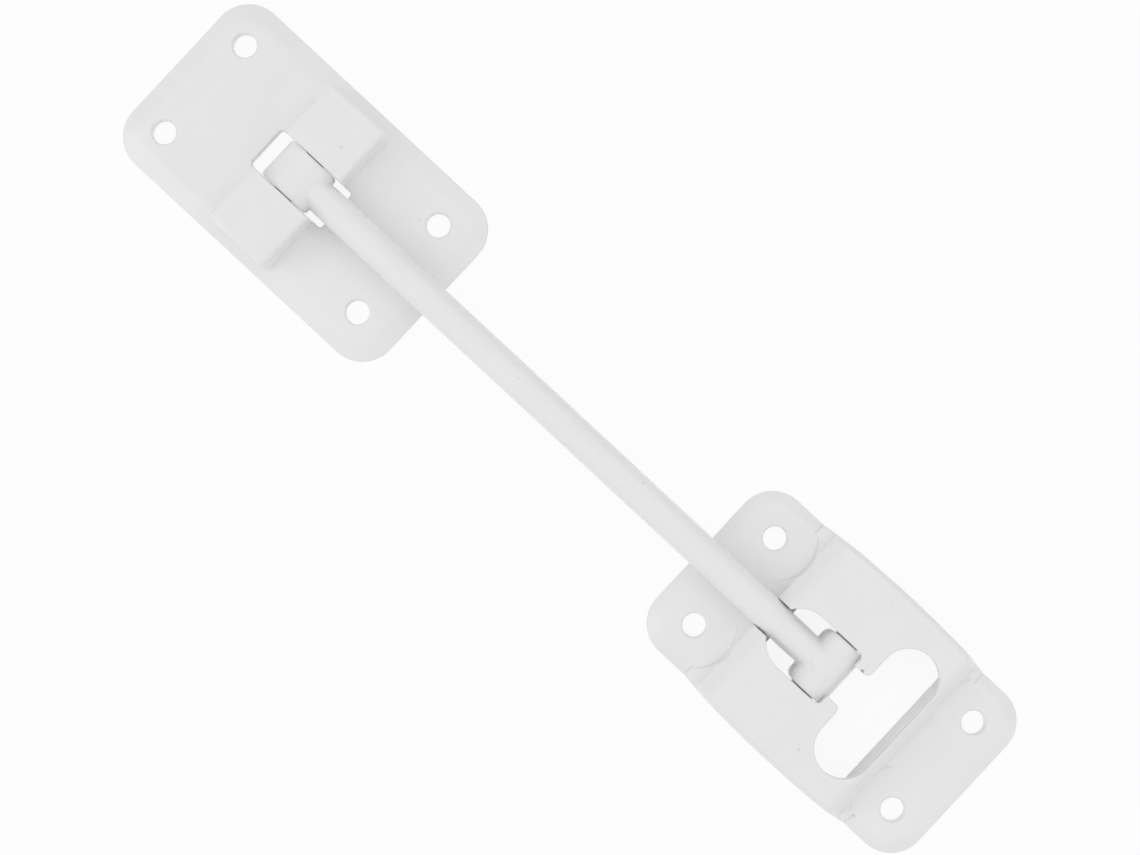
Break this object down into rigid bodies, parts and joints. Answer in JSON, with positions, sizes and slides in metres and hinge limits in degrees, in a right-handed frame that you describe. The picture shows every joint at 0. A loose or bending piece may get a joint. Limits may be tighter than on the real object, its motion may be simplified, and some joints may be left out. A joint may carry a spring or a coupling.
{
  "type": "door holder",
  "caption": "White moulded door holder: a wall hinge plate carries a straight round arm whose T-shaped head hooks into the slotted hood of a door catch plate.",
  "frame": {"origin": "middle of the hinge plate's screw pattern, on its back face", "axes": "+X along the arm from the hinge plate to the catch plate, +Z out of the mounting face"},
  "size_m": [0.2302, 0.0458, 0.0138],
  "materials": {
    "white_plastic": "satin moulded",
    "pin_steel": "drawn wire"
  },
  "bodies": {
    "hinge": {"hinge_plate": "white_plastic", "hinge_pin": "pin_steel"},
    "arm": {"hold_arm": "white_plastic"},
    "catch": {"catch_plate": "white_plastic"}
  },
  "joints": [
    {"name": "arm_swing", "type": "hinge", "parent": "hinge", "child": "arm", "pos_m": [0, 0, 0.00665], "axis": [0, -1, 0], "range_deg": [0, 165]},
    {"name": "catch_pivot", "type": "hinge", "parent": "arm", "child": "catch", "pos_m": [0.1524, 0, 0.00665], "axis": [0, -1, 0], "range_deg": [0, 145]}
  ]
}
